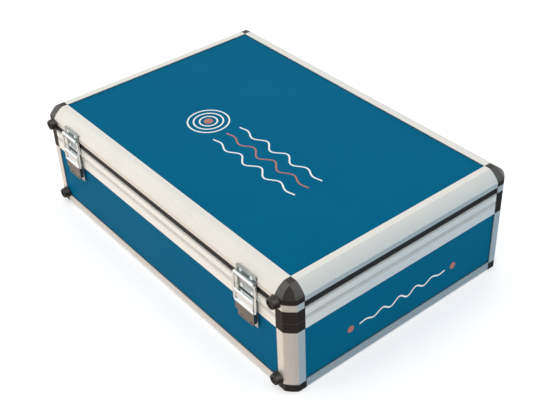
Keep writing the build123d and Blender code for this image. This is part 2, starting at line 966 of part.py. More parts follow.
def make_base_foam():
    """Flat pad under a die-cut layer with pockets right through it."""
    pad_inset = 2 * (bottom_rail_width + edge_play)
    with BuildPart() as pad:
        with BuildSketch(Plane.XY.offset(foam_floor)) as plan:
            Rectangle(case_length - pad_inset, case_depth - pad_inset)
            chamfer(plan.vertices(), corner_width - bottom_rail_width)
        extrude(amount=foam_pad_height)
    save(pad, "foam_base_pad")
    with BuildPart() as layer:
        with BuildSketch(Plane.XY.offset(foam_layer_bottom)):
            Rectangle(foam_length, foam_depth)
            for x, y, length, depth in pocket_boxes():
                with Locations((x, y)):
                    RectangleRounded(length, depth, pocket_corner, mode=Mode.SUBTRACT)
        extrude(amount=foam_layer_top - foam_layer_bottom)
    save(layer, "foam_pocket_layer")


def make_lid_foam():
    """Pad that fills the lid, its corners cut back to clear the corner caps."""
    low = lid_bottom + foam_gap
    high = top - skin - slot - web - foam_gap
    with BuildPart() as pad:
        with BuildSketch(Plane.XY.offset(low)) as plan:
            Rectangle(foam_length, foam_depth)
            chamfer(plan.vertices(), cap_inner_leg - inner_face)
        extrude(amount=high - low)
    save(pad, "foam_lid_pad")


for side_name, side_turn in sides.items():
    make_lid_rail(side_name, side_turn)
    make_rim("lid_rim", side_name, side_turn, lid_bottom, lid_rim_outline)
    make_rim("base_rim", side_name, side_turn, base_rim_bottom, base_rim_outline)
    make_bottom_rail(side_name, side_turn)
    make_base_board(side_name, side_turn)
for corner_name, corner_turn in corners.items():
    make_lid_cap(corner_name, corner_turn)
    make_base_post(corner_name, corner_turn)
make_lid_posts()
make_lid_strips()
make_connectors("lid_rim_connectors", lid_bottom, lid_rim_height)
make_connectors("base_rim_connectors", base_rim_bottom, base_rim_height)
make_bottom_caps()
make_flat_board("lid_top_board", top - skin - board, rail_leg_in + skin)
make_flat_board("base_bottom_board", foot_drop + skin, inner_face)
make_bumpers("lid_bumpers", "lid_bumper_screws", top - bumper_below_top)
make_bumpers("base_bumpers", "base_bumper_screws", bumper_above_floor)
for side_name, side_sign in ends.items():
    make_keeper(side_name, latch_x * side_sign)
    make_latch_plate(side_name, latch_x * side_sign)
    make_lever(side_name, latch_x * side_sign)
    make_link(side_name, latch_x * side_sign)
make_lever_pins()
outer_knuckles = [(0, knuckle_third - hinge_gap), (2 * knuckle_third + hinge_gap, hinge_width)]
middle_knuckle = [(knuckle_third, 2 * knuckle_third)]
make_hinge_leaves("hinge_base_leaves", -1, outer_knuckles, hinge_pin_radius)
make_hinge_leaves("hinge_lid_leaves", 1, middle_knuckle, hinge_pin_radius + hinge_pin_play)
make_hinge_pins()
make_brackets()
make_handle()
make_handle_pins()
make_base_foam()
make_lid_foam()

# Rivets, one group on each body
with BuildPart() as lid_rivets:
    for end_sign in ends.values():
        add_rivets(face_plane(0), keeper_sheet, keeper_rivet_places(latch_x * end_sign))
    add_rivets(face_plane(180), hinge_leaf, hinge_rivet_places(1))
save(lid_rivets, "lid_rivets")
with BuildPart() as base_rivets:
    for end_sign in ends.values():
        add_rivets(face_plane(0), latch_sheet, latch_rivet_places(latch_x * end_sign))
    add_rivets(face_plane(180), hinge_leaf, hinge_rivet_places(-1))
    add_rivets(bracket_face, bracket_sheet, bracket_rivet_places())
save(base_rivets, "base_rivets")
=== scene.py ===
import math

import bmesh
import bpy
from mathutils import Matrix, Vector


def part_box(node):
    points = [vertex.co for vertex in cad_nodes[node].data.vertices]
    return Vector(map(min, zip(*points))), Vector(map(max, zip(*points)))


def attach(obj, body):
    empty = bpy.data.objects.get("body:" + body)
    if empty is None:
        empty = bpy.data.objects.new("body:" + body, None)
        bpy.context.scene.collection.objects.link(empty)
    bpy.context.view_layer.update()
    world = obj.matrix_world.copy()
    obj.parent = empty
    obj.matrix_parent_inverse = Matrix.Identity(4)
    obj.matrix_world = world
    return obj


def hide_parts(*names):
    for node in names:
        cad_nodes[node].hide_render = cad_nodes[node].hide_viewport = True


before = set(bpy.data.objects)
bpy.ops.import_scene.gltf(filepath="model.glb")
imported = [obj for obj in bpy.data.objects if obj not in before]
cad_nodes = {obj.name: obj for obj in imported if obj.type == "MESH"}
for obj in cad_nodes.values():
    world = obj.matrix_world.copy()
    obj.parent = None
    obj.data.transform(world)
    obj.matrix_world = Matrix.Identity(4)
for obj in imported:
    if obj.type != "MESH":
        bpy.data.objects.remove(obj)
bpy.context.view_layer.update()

# The camera stands over the case's front right corner and looks down on the lid.
# Its place, lens and small roll were worked out from the case's edges in the photograph.
camera_place = (0.7565, -0.5752, 0.7431)
camera_azimuth = math.radians(52.17)
camera_elevation = math.radians(36.55)
camera_roll = math.radians(-2.37)
camera_sensor = 36.0
camera_lens = 64.69
camera_data = bpy.data.cameras.new("camera")
camera_data.sensor_fit = "HORIZONTAL"
camera_data.sensor_width = camera_sensor
camera_data.lens = camera_lens
camera = bpy.data.objects.new("camera", camera_data)
camera.matrix_world = (
    Matrix.Translation(camera_place)
    @ Matrix.Rotation(camera_azimuth, 4, "Z")
    @ Matrix.Rotation(math.pi / 2 - camera_elevation, 4, "X")
    @ Matrix.Rotation(camera_roll, 4, "Z")
)
bpy.context.scene.collection.objects.link(camera)
bpy.context.scene.camera = camera
bpy.context.scene.view_settings.view_transform = "Standard"

# The floor is a pale matt sheet that reaches past every view. It keeps the case's shadow,
# and a glow for camera and mirror rays only, a little weaker far out, takes it to white.
floor_size = 16.0
floor_drop = 0.0002
floor_colour = (0.86, 0.86, 0.86, 1.0)
floor_roughness = 0.9
glow_colour = (1.0, 1.0, 1.0, 1.0)
near_glow = 0.30
far_glow = 0.24
near_distance = 0.25
far_distance = 0.62


def add_shader_node(tree, kind, inputs=None, **settings):
    """A node whose inputs are plain values or the outputs of other nodes."""
    made = tree.nodes.new(kind)
    for setting, value in settings.items():
        setattr(made, setting, value)
    for key, value in (inputs or {}).items():
        if isinstance(value, bpy.types.NodeSocket):
            tree.links.new(value, made.inputs[key])
        else:
            made.inputs[key].default_value = value
    return made


def add_maths(tree, operation, first, second=0.0):
    """The output of a Math node."""
    return add_shader_node(
        tree, "ShaderNodeMath", {0: first, 1: second}, operation=operation
    ).outputs[0]


def place_on_piece(tree):
    """Where a point lies on its piece, in metres."""
    return add_shader_node(tree, "ShaderNodeTexCoord").outputs["Object"]


def seen_directly(tree):
    """1 for rays from the camera, and for those that a mirror or glass sends on."""
    path = add_shader_node(tree, "ShaderNodeLightPath")
    mirrored = add_maths(
        tree, "MAXIMUM", path.outputs["Is Glossy Ray"], path.outputs["Is Transmission Ray"]
    )
    return add_maths(tree, "MAXIMUM", path.outputs["Is Camera Ray"], mirrored)


def new_finish(name, **constants):
    """A material whose plain values sit on the shader's own sockets."""
    made = bpy.data.materials.new(name)
    made.use_nodes = True
    shader = made.node_tree.nodes["Principled BSDF"]
    for label, value in constants.items():
        shader.inputs[label.replace("_", " ")].default_value = value
    return made, made.node_tree, shader


def new_piece(name, shape, finish, sharp_past=None):
    """Turns a shape into an object, smooth but for edges past an angle if one is given."""
    mesh = bpy.data.meshes.new(name)
    shape.to_mesh(mesh)
    shape.free()
    if sharp_past:
        mesh.shade_smooth()
        mesh.set_sharp_from_angle(angle=math.radians(sharp_past))
    mesh.materials.append(finish)
    made = bpy.data.objects.new(name, mesh)
    bpy.context.scene.collection.objects.link(made)
    return made


floor_finish, floor_tree, floor_shader = new_finish(
    "floor_sheet",
    Base_Color=floor_colour,
    Roughness=floor_roughness,
    Specular_IOR_Level=0.0,
    Emission_Color=glow_colour,
)
floor_distance = add_shader_node(
    floor_tree, "ShaderNodeVectorMath", {0: place_on_piece(floor_tree)}, operation="LENGTH"
).outputs["Value"]
floor_glow = add_shader_node(
    floor_tree,
    "ShaderNodeMapRange",
    {0: floor_distance, 1: near_distance, 2: far_distance, 3: near_glow, 4: far_glow},
    interpolation_type="SMOOTHSTEP",
).outputs[0]
floor_tree.links.new(
    add_maths(floor_tree, "MULTIPLY", seen_directly(floor_tree), floor_glow),
    floor_shader.inputs["Emission Strength"],
)
floor_shape = bmesh.new()
bmesh.ops.create_grid(floor_shape, x_segments=1, y_segments=1, size=floor_size / 2)
floor = new_piece("floor", floor_shape, floor_finish)
floor.location.z = -floor_drop

# Studio light: a white sky all round, a weak warm softbox high over the front left, and cards
# that only mirrors see. Two lie on the floor, cool beside the right side and warm before the
# front. A blue one stands on the right, and a dark one hangs behind the camera for contrast.
sky_strength = 1.03
sky_colour = (0.97, 0.985, 1.0, 1.0)
softbox_place = (-1.8, -1.9, 1.6)
softbox_size = 3.6
softbox_power = 19.0
softbox_colour = (1.0, 0.96, 0.90)
card_base = (0.0, 0.0, 0.0, 1.0)
card_strength = 1.0
cards = {
    "blue_card": ((2.1, 1.4, 1.1), (-2.1, -1.4, -1.1), (3.2, 2.4), (0.76, 0.94, 1.08, 1.0)),
    "dark_card": ((1.5, -1.3, 1.75), (-1.5, 1.3, -1.75), (1.6, 1.4), (0.15, 0.15, 0.15, 1.0)),
    "cool_card": ((0.66, 0.40, 0.001), (0.0, 0.0, 1.0), (0.9, 1.1), (0.27, 0.385, 0.51, 1.0)),
    "warm_card": ((0.0, -0.56, 0.001), (0.0, 0.0, 1.0), (1.1, 0.8), (0.94, 0.84, 0.78, 1.0)),
}
sky = bpy.data.worlds.new("studio_sky")
sky.use_nodes = True
sky_shader = sky.node_tree.nodes["Background"]
sky_shader.inputs["Color"].default_value = sky_colour
sky_shader.inputs["Strength"].default_value = sky_strength
bpy.context.scene.world = sky
softbox_data = bpy.data.lights.new("softbox", "AREA")
softbox_data.size = softbox_size
softbox_data.energy = softbox_power
softbox_data.color = softbox_colour
softbox = bpy.data.objects.new("softbox", softbox_data)
softbox.location = softbox_place
softbox.rotation_euler = (-Vector(softbox_place)).to_track_quat("-Z", "Y").to_euler()
softbox.visible_camera = False
bpy.context.scene.collection.objects.link(softbox)
for card_name, (card_place, card_facing, card_size, card_colour) in cards.items():
    card_shape = bmesh.new()
    bmesh.ops.create_grid(card_shape, x_segments=1, y_segments=1, size=0.5)
    bmesh.ops.scale(card_shape, verts=list(card_shape.verts), vec=(*card_size, 1.0))
    card_finish = new_finish(
        card_name,
        Base_Color=card_base,
        Specular_IOR_Level=0.0,
        Emission_Color=card_colour,
        Emission_Strength=card_strength,
    )[0]
    card = new_piece(card_name, card_shape, card_finish)
    card.location = card_place
    card.rotation_euler = Vector(card_facing).to_track_quat("Z", "Y").to_euler()
    card.visible_camera = False
    card.visible_diffuse = False
    card.visible_shadow = False

# Aluminium extrusions, sawn to length and fitted round every edge. They are anodised silver,
# with fine lines from the die along each bar, edges drawn paler, partly as rubbed wear and
# partly as a painted highlight, and painted shade with a little dirt in the corners. The bottom
# rails and the diagonal middle of each upright post are drawn darker, a painted shade.
rail_colour = (0.805, 0.78, 0.72, 1.0)
rim_colour = (0.92, 0.905, 0.86, 1.0)
# The bottom rails are drawn darker than the other rails, a painted shade for their place next to
# the floor.
foot_shaded_colour = (0.72, 0.69, 0.64, 1.0)
streak_share = 0.98
# Paler colour of the aluminium's edges and flute ridges, partly rubbed wear and partly a painted
# highlight.
aluminium_edge_wear_and_highlight = (0.86, 0.845, 0.805, 1.0)
# Colour of the painted shade with a little dirt, drawn in corners and at joints.
aluminium_corner_shade_and_dirt = (0.10, 0.095, 0.09, 1.0)
# Darker, warmer colour drawn on the diagonal middle of upright posts, a painted shade.
aluminium_post_diagonal_shade = (0.61, 0.56, 0.51, 1.0)
rail_roughness = 0.46
rim_roughness = 0.75
roughness_spread = 0.04
smudge_dulling = 0.07
line_pitch_across = 2600.0
line_pitch_along = 1.5
line_detail = 3.0
line_depth = 0.000004
line_strength = 0.5
broad_line_pitch = 0.16
broad_line_range = (0.3, 0.7)
pale_edge_width = 0.0006
pale_edge_turn_range = (0.99, 0.86)
pale_edge_break_size = 70.0
pale_edge_break_detail = 3.0
pale_edge_break_range = (0.35, 0.6)
pale_edge_least = 0.55
pale_edge_samples = 4
# How far and how strongly the painted corner shade and dirt reach.
corner_shade_dirt_reach = 0.0015
corner_shade_dirt_range = (0.93, 0.5)
corner_shade_dirt_samples = 6
corner_wide = 0.95
corner_narrow = 0.6
smudge_size = 16.0
smudge_detail = 4.0
smudge_roughness = 0.6
smudge_range = (0.36, 0.66)


def new_effect(name, inputs, outputs):
    """An empty node group with its sockets, and its input and output nodes."""
    group = bpy.data.node_groups.new(name, "ShaderNodeTree")
    for label, kind, value in inputs:
        socket = group.interface.new_socket(label, in_out="INPUT", socket_type=kind)
        socket.default_value = value
    for label in outputs:
        group.interface.new_socket(label, in_out="OUTPUT", socket_type="NodeSocketFloat")
    start = group.nodes.new("NodeGroupInput")
    end = group.nodes.new("NodeGroupOutput")
    return group, start, end


def add_effect(tree, group, inputs=None):
    """One of those groups, placed in a material with its own values."""
    return add_shader_node(tree, "ShaderNodeGroup", inputs, node_tree=group)


def add_noise(tree, vector, scale, detail=2.0, roughness=0.5):
    """The grey value of a noise texture."""
    inputs = {"Vector": vector, "Scale": scale, "Detail": detail, "Roughness": roughness}
    return add_shader_node(tree, "ShaderNodeTexNoise", inputs).outputs["Fac"]


def add_range(tree, value, from_low=0.0, from_high=1.0, to_low=0.0, to_high=1.0):
    """A value stretched from one range to another, and held inside it."""
    inputs = {0: value, 1: from_low, 2: from_high, 3: to_low, 4: to_high}
    return add_shader_node(tree, "ShaderNodeMapRange", inputs).outputs[0]


def add_colour_mix(tree, factor, first, second):
    """A colour between two others."""
    inputs = {0: factor, 6: first, 7: second}
    return add_shader_node(tree, "ShaderNodeMix", inputs, data_type="RGBA").outputs[2]


def add_bump(tree, height, depth, strength):
    """A normal that follows a height map of that depth in metres."""
    inputs = {"Height": height, "Distance": depth, "Strength": strength}
    return add_shader_node(tree, "ShaderNodeBump", inputs).outputs["Normal"]


def scaled_colour(colour, share):
    """A colour made darker or brighter by one share."""
    return tuple(part * share for part in colour[:3]) + (1.0,)


drawn_lines, lines_in, lines_out = new_effect(
    "drawn_lines", [("Stretch", "NodeSocketVector", (1.0, 1.0, 1.0))], ["Height", "Tone"]
)
lines_fine = add_shader_node(
    drawn_lines,
    "ShaderNodeVectorMath",
    {0: place_on_piece(drawn_lines), 1: lines_in.outputs["Stretch"]},
    operation="MULTIPLY",
).outputs[0]
lines_height = add_noise(drawn_lines, lines_fine, 1.0, line_detail)
drawn_lines.links.new(lines_height, lines_out.inputs["Height"])
lines_broad = add_noise(drawn_lines, lines_fine, broad_line_pitch)
lines_tone = add_range(drawn_lines, lines_broad, *broad_line_range)
drawn_lines.links.new(lines_tone, lines_out.inputs["Tone"])

# Edges drawn paler: rubbed wear on plastic and plating, and on aluminium partly wear and partly
# a painted highlight on the flute ridges.
edge_wear_and_highlight, edge_in, edge_out = new_effect(
    "edge_wear_and_highlight", [("Width", "NodeSocketFloat", pale_edge_width)], ["Mask"]
)
edge_round = add_shader_node(
    edge_wear_and_highlight,
    "ShaderNodeBevel",
    {"Radius": edge_in.outputs["Width"]},
    samples=pale_edge_samples,
)
edge_flat = add_shader_node(edge_wear_and_highlight, "ShaderNodeNewGeometry")
edge_match = add_shader_node(
    edge_wear_and_highlight,
    "ShaderNodeVectorMath",
    {0: edge_round.outputs["Normal"], 1: edge_flat.outputs["Normal"]},
    operation="DOT_PRODUCT",
).outputs["Value"]
edge_noise = add_noise(
    edge_wear_and_highlight, place_on_piece(edge_wear_and_highlight), pale_edge_break_size, pale_edge_break_detail
)
edge_breaks = add_range(edge_wear_and_highlight, edge_noise, *pale_edge_break_range, to_low=pale_edge_least)
edge_found = add_range(edge_wear_and_highlight, edge_match, *pale_edge_turn_range)
edge_mask = add_maths(edge_wear_and_highlight, "MULTIPLY", edge_found, edge_breaks)
edge_wear_and_highlight.links.new(edge_mask, edge_out.inputs["Mask"])

# Painted shade with a little dirt: a mask from ambient occlusion, high in corners and at joints
# where nearby parts hem a surface in.
corner_shade_and_dirt, corner_shade_dirt_in, corner_shade_dirt_out = new_effect(
    "corner_shade_and_dirt", [("Reach", "NodeSocketFloat", corner_shade_dirt_reach)], ["Mask"]
)
corner_openness = add_shader_node(
    corner_shade_and_dirt,
    "ShaderNodeAmbientOcclusion",
    {"Distance": corner_shade_dirt_in.outputs["Reach"]},
    samples=corner_shade_dirt_samples,
).outputs["AO"]
corner_shade_dirt_mask = add_range(corner_shade_and_dirt, corner_openness, *corner_shade_dirt_range)
corner_shade_and_dirt.links.new(corner_shade_dirt_mask, corner_shade_dirt_out.inputs["Mask"])

outer_corner, turn_in, turn_out = new_effect(
    "outer_corner",
    [
        ("Amount", "NodeSocketFloat", 1.0),
        ("Wide", "NodeSocketFloat", corner_wide),
        ("Narrow", "NodeSocketFloat", corner_narrow),
    ],
    ["Mask"],
)
turn_normal = add_shader_node(outer_corner, "ShaderNodeTexCoord").outputs["Normal"]
turn_parts = add_shader_node(outer_corner, "ShaderNodeSeparateXYZ", {0: turn_normal})
turn_x = add_maths(outer_corner, "ABSOLUTE", turn_parts.outputs["X"])
turn_y = add_maths(outer_corner, "ABSOLUTE", turn_parts.outputs["Y"])
turn_gap = add_maths(outer_corner, "SUBTRACT", turn_x, turn_y)
turn_between = add_maths(outer_corner, "ABSOLUTE", turn_gap)
turn_found = add_range(
    outer_corner, turn_between, turn_in.outputs["Wide"], turn_in.outputs["Narrow"]
)
turn_mask = add_maths(outer_corner, "MULTIPLY", turn_found, turn_in.outputs["Amount"])
outer_corner.links.new(turn_mask, turn_out.inputs["Mask"])

smudges, smudge_in, smudge_out = new_effect(
    "smudges", [("Size", "NodeSocketFloat", smudge_size)], ["Mask"]
)
smudge_noise = add_noise(
    smudges, place_on_piece(smudges), smudge_in.outputs["Size"], smudge_detail, smudge_roughness
)
smudge_mask = add_range(smudges, smudge_noise, *smudge_range)
smudges.links.new(smudge_mask, smudge_out.inputs["Mask"])


def anodised(name, stretch, colour, roughness, post_diagonal_shade_amount=0.0):
    """Silver anodised aluminium whose die lines run along one axis, with painted shade and a
    little dirt in its corners, paler edges that are partly wear and partly a painted highlight,
    and, where asked, painted shade on the diagonal of upright posts.
    """
    made, tree, shader = new_finish(name, Metallic=1.0)
    lines = add_effect(tree, drawn_lines, {"Stretch": stretch})
    edges = add_effect(tree, edge_wear_and_highlight)
    marks = add_effect(tree, smudges)
    # Painted shade and a little dirt in corners and at joints.
    corner_shade_dirt = add_effect(tree, corner_shade_and_dirt)
    # Painted shade on the diagonal of upright posts.
    corners = add_effect(tree, outer_corner, {"Amount": post_diagonal_shade_amount})
    streak = scaled_colour(colour, streak_share)
    metal = add_colour_mix(tree, lines.outputs["Tone"], colour, streak)
    post_diagonal_shaded = add_colour_mix(tree, corners.outputs["Mask"], metal, aluminium_post_diagonal_shade)
    # Paler edges and flute ridges, partly wear and partly a painted highlight.
    edge_paled = add_colour_mix(tree, edges.outputs["Mask"], post_diagonal_shaded, aluminium_edge_wear_and_highlight)
    corner_shaded_and_soiled = add_colour_mix(tree, corner_shade_dirt.outputs["Mask"], edge_paled, aluminium_corner_shade_and_dirt)
    tree.links.new(corner_shaded_and_soiled, shader.inputs["Base Color"])
    rough = add_range(
        tree, lines.outputs["Tone"], to_low=roughness, to_high=roughness + roughness_spread
    )
    dulled = add_maths(tree, "MULTIPLY", marks.outputs["Mask"], smudge_dulling)
    tree.links.new(add_maths(tree, "ADD", rough, dulled), shader.inputs["Roughness"])
    relief = add_bump(tree, lines.outputs["Height"], line_depth, line_strength)
    tree.links.new(relief, shader.inputs["Normal"])
    return made


def dress(material, *names):
    """Gives CAD nodes their finish."""
    for name in names:
        for place in cad_nodes[name].material_slots:
            place.material = material


across, along = line_pitch_across, line_pitch_along
bars = {
    "rails": (rail_colour, rail_roughness, ("lid_rail",)),
    "rims": (rim_colour, rim_roughness, ("lid_rim", "base_rim")),
    "shaded_feet": (foot_shaded_colour, rail_roughness, ("base_bottom_rail",)),
}
for kind, (bar_colour, bar_roughness, bar_names) in bars.items():
    bar_look = (bar_colour, bar_roughness)
    along_x = anodised(f"anodised_{kind}_along_x", (along, across, across), *bar_look)
    along_y = anodised(f"anodised_{kind}_along_y", (across, along, across), *bar_look)
    for bar in bar_names:
        dress(along_x, f"{bar}_front", f"{bar}_back")
        dress(along_y, f"{bar}_left", f"{bar}_right")
# Upright posts: their fluted diagonal middle is drawn darker, a painted shade.
upright_bars = anodised(
    "anodised_upright_bars",
    (across, across, along),
    rail_colour,
    rail_roughness,
    post_diagonal_shade_amount=1.0,
)
dress(upright_bars, "base_post_front_left", "base_post_front_right")
dress(upright_bars, "base_post_back_left", "base_post_back_right", "lid_short_posts")

# Boards: thin plywood with a teal decorative laminate on the outside, slid into the slots
# of the extrusions. The laminate has a fine orange-peel face and a few faint hairlines.
teal_colour = (0.0008, 0.119, 0.226, 1.0)
teal_shade = (0.0007, 0.113, 0.215, 1.0)
teal_scuff = (0.02, 0.15, 0.26, 1.0)
# Colour of the painted shade with a little dirt where the laminate meets the rails.
teal_corner_shade_and_dirt = (0.003, 0.016, 0.028, 1.0)
teal_gloss = 0.01
teal_index = 1.45
teal_roughness = (0.36, 0.48)
teal_smudge_size = 9.0
teal_hairline_amount = 0.25
teal_corner_shade_dirt_reach = 0.0006
peel_fineness = 700.0
peel_depth = 0.00004
peel_strength = 0.5
hairline_turns = ((0.2, 0.1, 0.5), (0.6, 0.3, 1.9))
hairline_stretch = (7.0, 700.0, 700.0)
hairline_detail = 1.0
hairline_range = (0.74, 0.8)
hairline_amount = 0.5
grain_fineness = 1500.0

hairlines, hairline_in, hairline_out = new_effect(
    "hairlines", [("Amount", "NodeSocketFloat", hairline_amount)], ["Mask"]
)
hairline_place = place_on_piece(hairlines)
hairline_masks = []
for hairline_turn in hairline_turns:
    hairline_set = add_shader_node(
        hairlines,
        "ShaderNodeMapping",
        {"Vector": hairline_place, "Rotation": hairline_turn, "Scale": hairline_stretch},
    ).outputs[0]
    hairline_noise = add_noise(hairlines, hairline_set, 1.0, hairline_detail)
    hairline_masks.append(add_range(hairlines, hairline_noise, *hairline_range))
hairline_sum = add_maths(hairlines, "MAXIMUM", *hairline_masks)
hairline_mask = add_maths(hairlines, "MULTIPLY", hairline_sum, hairline_in.outputs["Amount"])
hairlines.links.new(hairline_mask, hairline_out.inputs["Mask"])

fine_grain, grain_in, grain_out = new_effect(
    "fine_grain", [("Fineness", "NodeSocketFloat", grain_fineness)], ["Height"]
)
grain_height = add_noise(fine_grain, place_on_piece(fine_grain), grain_in.outputs["Fineness"])
fine_grain.links.new(grain_height, grain_out.inputs["Height"])

teal_laminate, teal_tree, teal_shader = new_finish(
    "teal_laminate", Specular_IOR_Level=teal_gloss, IOR=teal_index
)
teal_smudges = add_effect(teal_tree, smudges, {"Size": teal_smudge_size}).outputs["Mask"]
teal_hairs = add_effect(teal_tree, hairlines, {"Amount": teal_hairline_amount}).outputs["Mask"]
teal_peel = add_effect(teal_tree, fine_grain, {"Fineness": peel_fineness}).outputs["Height"]
# Painted shade with a little dirt along the rails' lips, from ambient occlusion.
teal_corner_shade_dirt = add_effect(teal_tree, corner_shade_and_dirt, {"Reach": teal_corner_shade_dirt_reach}).outputs["Mask"]
teal_mottled = add_colour_mix(teal_tree, teal_smudges, teal_colour, teal_shade)
teal_scratched = add_colour_mix(teal_tree, teal_hairs, teal_mottled, teal_scuff)
teal_corner_shaded_and_soiled = add_colour_mix(teal_tree, teal_corner_shade_dirt, teal_scratched, teal_corner_shade_and_dirt)
teal_tree.links.new(teal_corner_shaded_and_soiled, teal_shader.inputs["Base Color"])
teal_rough = add_range(
    teal_tree, teal_smudges, to_low=teal_roughness[0], to_high=teal_roughness[1]
)
teal_tree.links.new(teal_rough, teal_shader.inputs["Roughness"])
teal_relief = add_bump(teal_tree, teal_peel, peel_depth, peel_strength)
teal_tree.links.new(teal_relief, teal_shader.inputs["Normal"])
dress(teal_laminate, "lid_top_board", "base_bottom_board")
dress(teal_laminate, "base_board_front", "base_board_back")
dress(teal_laminate, "base_board_left", "base_board_right")

# Screen print on the lid and on the right side, a thin layer of white and salmon ink.
# The motif is a plain one: ripples round a dot, with three waves that run from them.
ink_thickness = 0.00005
ink_sunk = 0.00003
ink_line = 0.0019
ink_white = (0.86, 0.87, 0.86, 1.0)
ink_salmon = (0.44, 0.165, 0.122, 1.0)
ink_thin_share = 0.93
ink_gloss = 0.25
ink_roughness = (0.42, 0.55)
ink_smudge_size = 90.0
ink_peel_fineness = 1100.0
ink_peel_depth = 0.00003
ink_peel_strength = 0.5
lid_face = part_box("lid_top_board")[1].z
right_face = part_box("base_board_right")[1].x
ripple_centre = Vector((-0.066, -0.030))
ripple_radii = (0.0105, 0.0175, 0.0245)
ripple_dot = 0.0055
wave_start = -0.030
wave_end = 0.112
wave_spacing = 0.019
wave_height = 0.0052
wave_length = 0.0355
wave_swell = 0.6
side_wave_level = 0.040
side_wave_end = 0.062
side_wave_height = 0.0035
side_wave_share = 0.7
side_dot_gap = 0.013
side_dot = 0.0042
wave_points = 97
stroke_end_steps = 8
ring_steps = 72
dot_steps = 40


def ink_stroke(shape, points):
    """A line of ink along points, with round ends."""
    sides = []
    for index, point in enumerate(points):
        before = points[max(index - 1, 0)]
        after = points[min(index + 1, len(points) - 1)]
        run = (after - before).normalized()
        out = Vector((-run.y, run.x)) * ink_line / 2
        sides.append([shape.verts.new((*edge, 0.0)) for edge in (point + out, point - out)])
    for near, far in zip(sides, sides[1:]):
        shape.faces.new((near[0], near[1], far[1], far[0]))
    for side, end, inner in (
        (sides[0], points[0], points[1]),
        (sides[-1], points[-1], points[-2]),
    ):
        first = Vector(side[0].co[:2]) - end
        sign = 1.0 if first.cross(end - inner) > 0 else -1.0
        cap = [side[0]]
        for step in range(1, stroke_end_steps):
            turned = Matrix.Rotation(sign * math.pi * step / stroke_end_steps, 2) @ first
            cap.append(shape.verts.new((*(end + turned), 0.0)))
        cap.append(side[1])
        shape.faces.new(cap)


def ink_circle(shape, centre, radius, steps):
    """The corners of a round outline."""
    corners = []
    for step in range(steps):
        turn = math.tau * step / steps
        way = Vector((math.cos(turn), math.sin(turn)))
        corners.append(shape.verts.new((*(centre + way * radius), 0.0)))
    return corners


def ink_ring(shape, centre, radius):
    """A closed ring of ink."""
    outer = ink_circle(shape, centre, radius + ink_line / 2, ring_steps)
    inner = ink_circle(shape, centre, radius - ink_line / 2, ring_steps)
    for step in range(ring_steps):
        after = (step + 1) % ring_steps
        shape.faces.new((outer[step], inner[step], inner[after], outer[after]))


def ink_dot(shape, centre, radius):
    """A round spot of ink."""
    shape.faces.new(ink_circle(shape, centre, radius, dot_steps))


def wave(start, end, level, height, length):
    """Points along a wave that dies down towards both ends."""
    points = []
    for step in range(wave_points):
        share = step / (wave_points - 1)
        x = start + (end - start) * share
        reach = height * math.sin(math.pi * share) ** wave_swell
        points.append(Vector((x, level + reach * math.sin(math.tau * (x - start) / length))))
    return points


def lay_ink(name, shape, colour, seat, body):
    """Thickens flat ink, lays it on a board and gives it its finish."""
    for face in shape.faces:
        face.normal_update()
        if face.normal.z < 0:
            face.normal_flip()
    top = bmesh.ops.extrude_face_region(shape, geom=list(shape.faces))
    lifted = [part for part in top["geom"] if isinstance(part, bmesh.types.BMVert)]
    bmesh.ops.translate(shape, verts=lifted, vec=(0.0, 0.0, ink_thickness + ink_sunk))
    bmesh.ops.translate(shape, verts=list(shape.verts), vec=(0.0, 0.0, -ink_sunk))
    shape.transform(seat)
    bmesh.ops.recalc_face_normals(shape, faces=list(shape.faces))
    ink, tree, shader = new_finish(name, Specular_IOR_Level=ink_gloss)
    marks = add_effect(tree, smudges, {"Size": ink_smudge_size}).outputs["Mask"]
    peel = add_effect(tree, fine_grain, {"Fineness": ink_peel_fineness}).outputs["Height"]
    thin = add_colour_mix(tree, marks, colour, scaled_colour(colour, ink_thin_share))
    tree.links.new(thin, shader.inputs["Base Color"])
    rough = add_range(tree, marks, to_low=ink_roughness[0], to_high=ink_roughness[1])
    tree.links.new(rough, shader.inputs["Roughness"])
    relief = add_bump(tree, peel, ink_peel_depth, ink_peel_strength)
    tree.links.new(relief, shader.inputs["Normal"])
    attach(new_piece(name, shape, ink), body)


lid_seat = Matrix.Translation((0.0, 0.0, lid_face))
side_seat = Matrix(((0, 0, 1, right_face), (1, 0, 0, 0), (0, 1, 0, 0), (0, 0, 0, 1)))
white_lines = bmesh.new()
for ripple_radius in ripple_radii:
    ink_ring(white_lines, ripple_centre, ripple_radius)
for wave_row in (-1, 1):
    wave_level = ripple_centre.y + wave_row * wave_spacing
    ink_stroke(white_lines, wave(wave_start, wave_end, wave_level, wave_height, wave_length))
lay_ink("lid_print_white", white_lines, ink_white, lid_seat, "lid")
salmon_lines = bmesh.new()
ink_dot(salmon_lines, ripple_centre, ripple_dot)
ink_stroke(salmon_lines, wave(wave_start, wave_end, ripple_centre.y, wave_height, wave_length))
lay_ink("lid_print_salmon", salmon_lines, ink_salmon, lid_seat, "lid")
side_wave_length = wave_length * side_wave_share
side_wave = (-side_wave_end, side_wave_end, side_wave_level, side_wave_height, side_wave_length)
white_lines = bmesh.new()
ink_stroke(white_lines, wave(*side_wave))
lay_ink("side_print_white", white_lines, ink_white, side_seat, "base")
salmon_lines = bmesh.new()
for dot_side in (-1, 1):
    dot_centre = Vector((dot_side * (side_wave_end + side_dot_gap), side_wave_level))
    ink_dot(salmon_lines, dot_centre, side_dot)
lay_ink("side_print_salmon", salmon_lines, ink_salmon, side_seat, "base")

